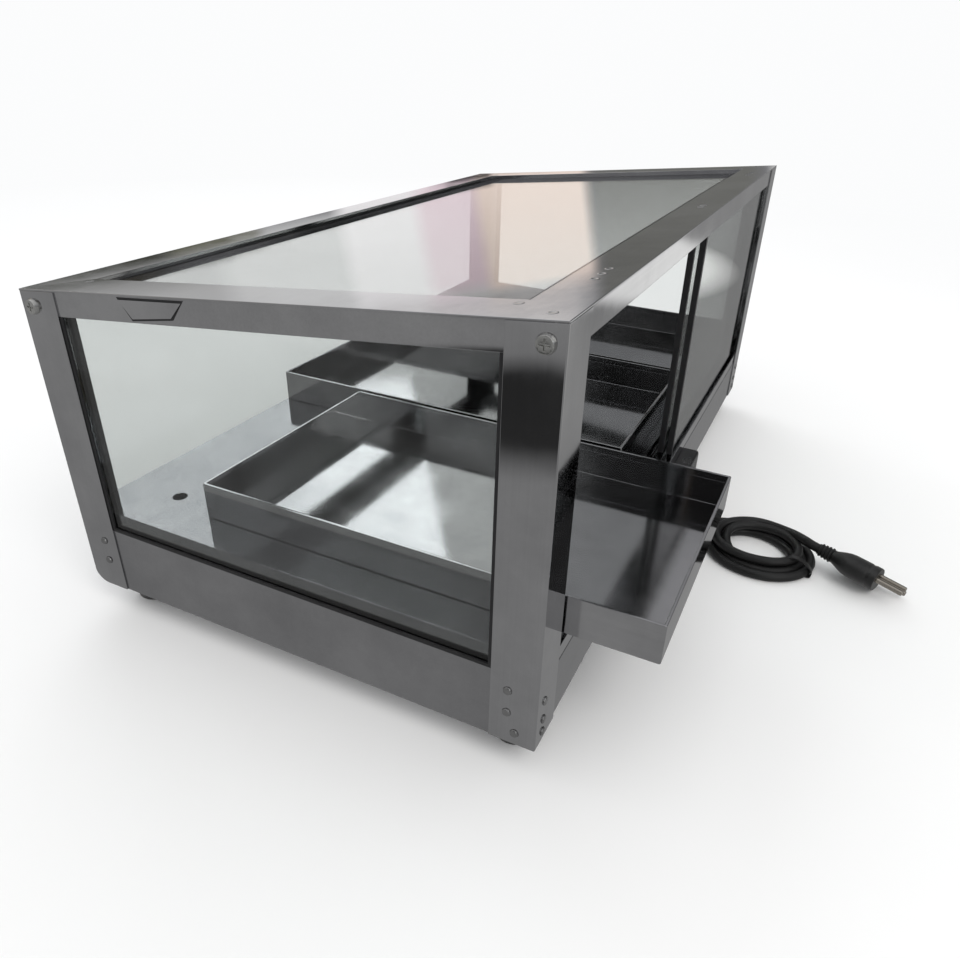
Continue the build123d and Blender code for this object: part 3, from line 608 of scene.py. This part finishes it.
# feet
footSettings = {
    "sides": 56,
    "edge": 0.3,
    "profile": [(11.6, 0.0), (12.4, 0.8), (12.7, 2.6), (13.9, 5.6), (13.6, 6.2), (14.2, 7.0), (15.6, 12.4),
                (15.3, 13.0), (15.9, 13.8), (16.9, 18.6), (17.0, 20.0)],
    "names": {"foot_operator_left": "footOperatorLeft", "foot_customer_left": "footCustomerLeft",
              "foot_operator_right": "footOperatorRight", "foot_customer_right": "footCustomerRight"},
}
for node, name in footSettings["names"].items():
    low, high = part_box(node)
    foot = turned(name, footSettings["profile"], footSettings["sides"])
    ease(foot, footSettings["edge"])
    stand(foot, ((low[0] + high[0]) / 2 / mm, (low[1] + high[1]) / 2 / mm, 0.0), (0, 0, 1))
    dress(foot, name, "rubberFoot", "case", "black_rubber", node)
print("feet made")


# marks of the sheet metal work
markSettings = {
    "slope": 0.10781,  # fall of the top towards the customers
    "middle": 234.25,  # height of the top half way
    "spots": [(-216, -146), (-205, -146), (-194, -146), (8, -146), (15.5, -146), (203, -146), (214, -146),
              (226, -146), (-263.5, -129.5), (-275, -149), (-263.5, 129.5), (263.5, -129.5), (263.5, 129.5)],
    "spotProfile": [(2.5, 0.0), (2.5, 0.1), (2.1, 0.22), (1.6, 0.22), (1.2, 0.1), (0.4, 0.1)],
    "spotSunk": 0.05,
    "tabMiddle": (-283.9, 61.5, 220.2),
    "tabSize": (9.0, 44.0),
    "tabTaper": 0.62,
    "tabEdge": 0.12,
    # piece, material, slot, how much larger all round, how proud
    # the black layer round the tab is painted shade in the gap
    "tabLayers": [("frameTabGapPaintedShade", "sealBlack", "black_seal", 1.1, 0.35),
                  ("frameTab", "polishedTop", "polished_steel", 0.0, 0.8)],
}


def addSpots(s):
    # spot welds on the top border
    spots = []
    for i, (x, y) in enumerate(s["spots"]):
        spot = turned(f"spot{i}", s["spotProfile"], 24)
        spots.append(stand(spot, (x, y, s["middle"] - s["slope"] * y - s["spotSunk"]), (0, s["slope"], 1)))
    alone(spots[0])
    for spot in spots:
        spot.select_set(True)
    bpy.ops.object.join()
    dress(spots[0], "weldSpots", "rivetSteel", "case", "satin_steel")


def addTab(s, name, material, slot, larger, proud):
    # folded tab that shows on the left end of the frame, and a black sheet round it standing for the shade
    # in the gap: painted shade
    tall, wide = (side + 2 * larger for side in s["tabSize"])
    middle = Vector(s["tabMiddle"]) * mm
    bpy.ops.mesh.primitive_plane_add(size=mm, location=middle, rotation=(0, radians(-90), 0))
    tab = bpy.context.object
    tab.scale = (tall, wide, 1)
    settle(tab)
    pick(tab, "VERT", lambda v: v.co.z < middle.z)
    bpy.ops.transform.resize(value=(1, s["tabTaper"], 1), center_override=middle)
    done()
    for side in (1, -1):
        pick(tab, "VERT", lambda v: (v.co.y - middle.y) * side > 0)
        bpy.ops.transform.translate(value=(0, 0, -side * s["slope"] * wide / 2 * mm))
        done()
    pick(tab, "FACE", lambda f: True)
    bpy.ops.mesh.extrude_region_move(TRANSFORM_OT_translate={"value": (-proud * mm, 0, 0)})
    bpy.ops.mesh.select_all(action="SELECT")
    bpy.ops.mesh.normals_make_consistent(inside=False)
    done()
    ease(tab, s["tabEdge"])
    dress(tab, name, material, "case", slot)


addSpots(markSettings)
for layer in markSettings["tabLayers"]:
    addTab(markSettings, *layer)
print("marks made")


# floor and light
studio = {
    "plain": 1.0,  # strength of the backdrop
    "backdrop": (0.97, 0.975, 0.98, 1),  # lights matt surfaces and shows behind and through the case
    "dim": (0.20, 0.20, 0.21),
    # what bright metal mirrors: azimuth, elevation, half width, half height, softness in degrees, colour
    "cards": [
        (38, 34, 30, 26, 6, (0.95, 0.95, 0.95)),
        (28, 30, 22, 16, 4, (0.34, 0.34, 0.34)),
        (42, 9, 13, 5, 1.5, (0.56, 0.56, 0.56)),
        (49, 7.5, 5, 4.5, 2, (0.72, 0.72, 0.72)),
        (56, 4, 3.5, 6, 1.2, (0.95, 0.93, 0.94)),
        (61, 5.5, 3, 4, 1.2, (0.86, 0.70, 0.76)),
        (66.2, 5.8, 3.9, 4.2, 1.0, (1.0, 0.84, 0.75)),
        (61, 12, 7.5, 2, 0.8, (0.60, 0.58, 0.58)),
        (62, 1.5, 1.6, 1.2, 0.5, (0.02, 0.02, 0.02)),
        (37, 1.0, 8, 3.2, 1.0, (0.03, 0.032, 0.02)),
        (44, 2, 3, 2, 1, (0.12, 0.12, 0.08)),
        (76, 6, 5.6, 9, 1.2, (0.17, 0.17, 0.16)),
        (84, 7, 1.5, 8, 0.8, (0.75, 0.75, 0.74)),
        (88, 9, 2, 9, 1, (0.05, 0.05, 0.05)),
        (116, 25, 16, 24, 4, (0.03, 0.03, 0.03)),
        (104, -12, 5, 6, 2, (0.85, 0.85, 0.85)),
        (-62, 30, 10, 18, 3, (0.34, 0.34, 0.34)),
        (-81, 30, 9, 22, 3, (0.02, 0.02, 0.02)),
        (-100, 22, 6, 26, 3, (0.06, 0.05, 0.04)),
        (-140, 30, 16, 20, 5, (0.90, 0.90, 0.88)),
        (170, 24, 10, 20, 4, (0.75, 0.77, 0.80)),
        (145, 30, 5, 26, 3, (0.10, 0.09, 0.07)),
        (-20, 30, 10, 16, 5, (0.50, 0.48, 0.44)),
    ],
    # place, size in metres, watts, colour
    "lamps": [
        ("keyLight", (-1.2, -1.6, 2.2), 1.2, 22, (1.0, 0.98, 0.95)),
        ("fillLight", (1.6, 1.8, 1.9), 1.6, 14, (0.95, 0.97, 1.0)),
    ],
    "floorSize": 30,
    "floorFade": (0.6, 1.9),  # where the floor turns into the backdrop
    # the floor glows with this colour where metal mirrors it: painted reflection
    "floorPaintedReflection": (0.27, 0.27, 0.27),
    # what the metal mirrors of the floor, glowing patches of painted reflection, light and dark: x, y,
    # radius, softness in metres, colour
    "patches": [
        (0.15, -0.85, 0.46, 0.30, (0.46, 0.46, 0.45)),
        (-0.74, 0.03, 0.135, 0.07, (0.03, 0.03, 0.03)),
        (0.85, -0.62, 0.35, 0.06, (0.95, 0.95, 0.94)),
    ],
}


def cardMask(tree, azimuth, elevation, card):
    a, e, halfA, halfE, soft = card[:5]
    parts = []
    for source, middle, half in ((azimuth, a, halfA), (elevation, e, halfE)):
        away = addNode(tree, "ShaderNodeMath", {0: source}, operation="SUBTRACT")
        away.inputs[1].default_value = middle
        far = addNode(tree, "ShaderNodeMath", {0: away.outputs[0]}, operation="ABSOLUTE")
        parts.append(mapRange(tree, far.outputs[0], half - soft / 2, half + soft / 2, 1.0, 0.0))
    return addNode(tree, "ShaderNodeMath", {0: parts[0], 1: parts[1]}, operation="MULTIPLY").outputs[0]


def degrees(tree, source):
    node = addNode(tree, "ShaderNodeMath", {0: source}, operation="DEGREES")
    return node.outputs[0]


def afterMirror(tree):
    # 1 once a ray has been mirrored by metal or glass, 0 for what is seen directly or through a pane
    node = addNode(tree, "ShaderNodeMath", {0: addNode(tree, "ShaderNodeLightPath").outputs["Glossy Depth"]},
                   operation="GREATER_THAN")
    node.inputs[1].default_value = 0.5
    return node.outputs[0]


def addWorld(s):
    world = bpy.data.worlds.new("studio")
    bpy.context.scene.world = world
    world.use_nodes = True
    tree = world.node_tree
    plain = tree.nodes["Background"]
    plain.inputs["Color"].default_value = s["backdrop"]
    plain.inputs["Strength"].default_value = s["plain"]
    way = addNode(tree, "ShaderNodeTexCoord").outputs["Generated"]
    parts = addNode(tree, "ShaderNodeSeparateXYZ", {0: way}).outputs
    azimuth = degrees(tree, addNode(tree, "ShaderNodeMath", {0: parts[0], 1: parts[1]},
                                    operation="ARCTAN2").outputs[0])
    elevation = degrees(tree, addNode(tree, "ShaderNodeMath", {0: parts[2]}, operation="ARCSINE").outputs[0])
    room = mixed(tree, mapRange(tree, elevation, 10, 80, 0, 1), s["dim"], (0.55, 0.55, 0.56))
    for card in s["cards"]:
        node = addNode(tree, "ShaderNodeMix", data_type="RGBA")
        tree.links.new(cardMask(tree, azimuth, elevation, card), node.inputs[0])
        tree.links.new(room, node.inputs[6])
        node.inputs[7].default_value = (*card[5], 1)
        room = node.outputs[2]
    mirrored = addNode(tree, "ShaderNodeBackground", {"Color": room})
    choose = addNode(tree, "ShaderNodeMixShader")
    tree.links.new(afterMirror(tree), choose.inputs[0])
    tree.links.new(plain.outputs[0], choose.inputs[1])
    tree.links.new(mirrored.outputs[0], choose.inputs[2])
    tree.links.new(choose.outputs[0], tree.nodes["World Output"].inputs["Surface"])


def addFloor(s):
    bpy.ops.mesh.primitive_plane_add(size=s["floorSize"])
    floor = bpy.context.object
    floor.name = "floor"
    material, tree, shader = blank("paleFloor")
    coords = addNode(tree, "ShaderNodeTexCoord").outputs["Object"]
    shade = noiseAt(tree, coords, 3.0, 4.0)
    tree.links.new(mixed(tree, shade, (0.86, 0.86, 0.86), (0.89, 0.89, 0.89)), shader.inputs["Base Color"])
    shader.inputs["Roughness"].default_value = 0.8
    shader.inputs["Specular IOR Level"].default_value = 0.2
    # seen in metal the floor is a glow, not lit: painted reflection with light and dark patches
    glow = addNode(tree, "ShaderNodeEmission")
    glow.inputs["Color"].default_value = (*s["floorPaintedReflection"], 1)
    for x, y, radius, soft, colour in s["patches"]:
        shifted = addNode(tree, "ShaderNodeVectorMath", {0: coords}, operation="SUBTRACT")
        shifted.inputs[1].default_value = (x, y, 0)
        away = addNode(tree, "ShaderNodeVectorMath", {0: shifted.outputs[0]}, operation="LENGTH")
        inside = mapRange(tree, away.outputs["Value"], radius - soft / 2, radius + soft / 2, 1.0, 0.0)
        patch = addNode(tree, "ShaderNodeMix", {0: inside}, data_type="RGBA")
        patch.inputs[6].default_value = glow.inputs["Color"].default_value
        patch.inputs[7].default_value = (*colour, 1)
        if glow.inputs["Color"].is_linked:
            tree.links.new(glow.inputs["Color"].links[0].from_socket, patch.inputs[6])
        tree.links.new(patch.outputs[2], glow.inputs["Color"])
    reach = addNode(tree, "ShaderNodeVectorMath", {0: coords}, operation="LENGTH").outputs["Value"]
    sweep = addNode(tree, "ShaderNodeEmission")
    sweep.inputs["Color"].default_value = s["backdrop"]
    faded = addNode(tree, "ShaderNodeMixShader")
    tree.links.new(mapRange(tree, reach, *s["floorFade"], 0.0, 1.0), faded.inputs[0])
    tree.links.new(shader.outputs[0], faded.inputs[1])
    tree.links.new(sweep.outputs[0], faded.inputs[2])
    choose = addNode(tree, "ShaderNodeMixShader")
    tree.links.new(afterMirror(tree), choose.inputs[0])
    tree.links.new(faded.outputs[0], choose.inputs[1])
    tree.links.new(glow.outputs[0], choose.inputs[2])
    tree.links.new(choose.outputs[0], tree.nodes["Material Output"].inputs["Surface"])
    floor.data.materials.append(material)


def addLamps(s):
    for name, place, size, power, tone in s["lamps"]:
        bpy.ops.object.light_add(type="AREA", location=place)
        lamp = bpy.context.object
        lamp.name = name
        lamp.data.shape = "SQUARE"
        lamp.data.size = size
        lamp.data.energy = power
        lamp.data.color = tone
        lamp.visible_glossy = False
        lamp.rotation_euler = (-Vector(place)).to_track_quat("-Z", "Y").to_euler()


addWorld(studio)
addFloor(studio)
addLamps(studio)
bpy.context.scene.view_settings.view_transform = "Standard"
print("stage made")
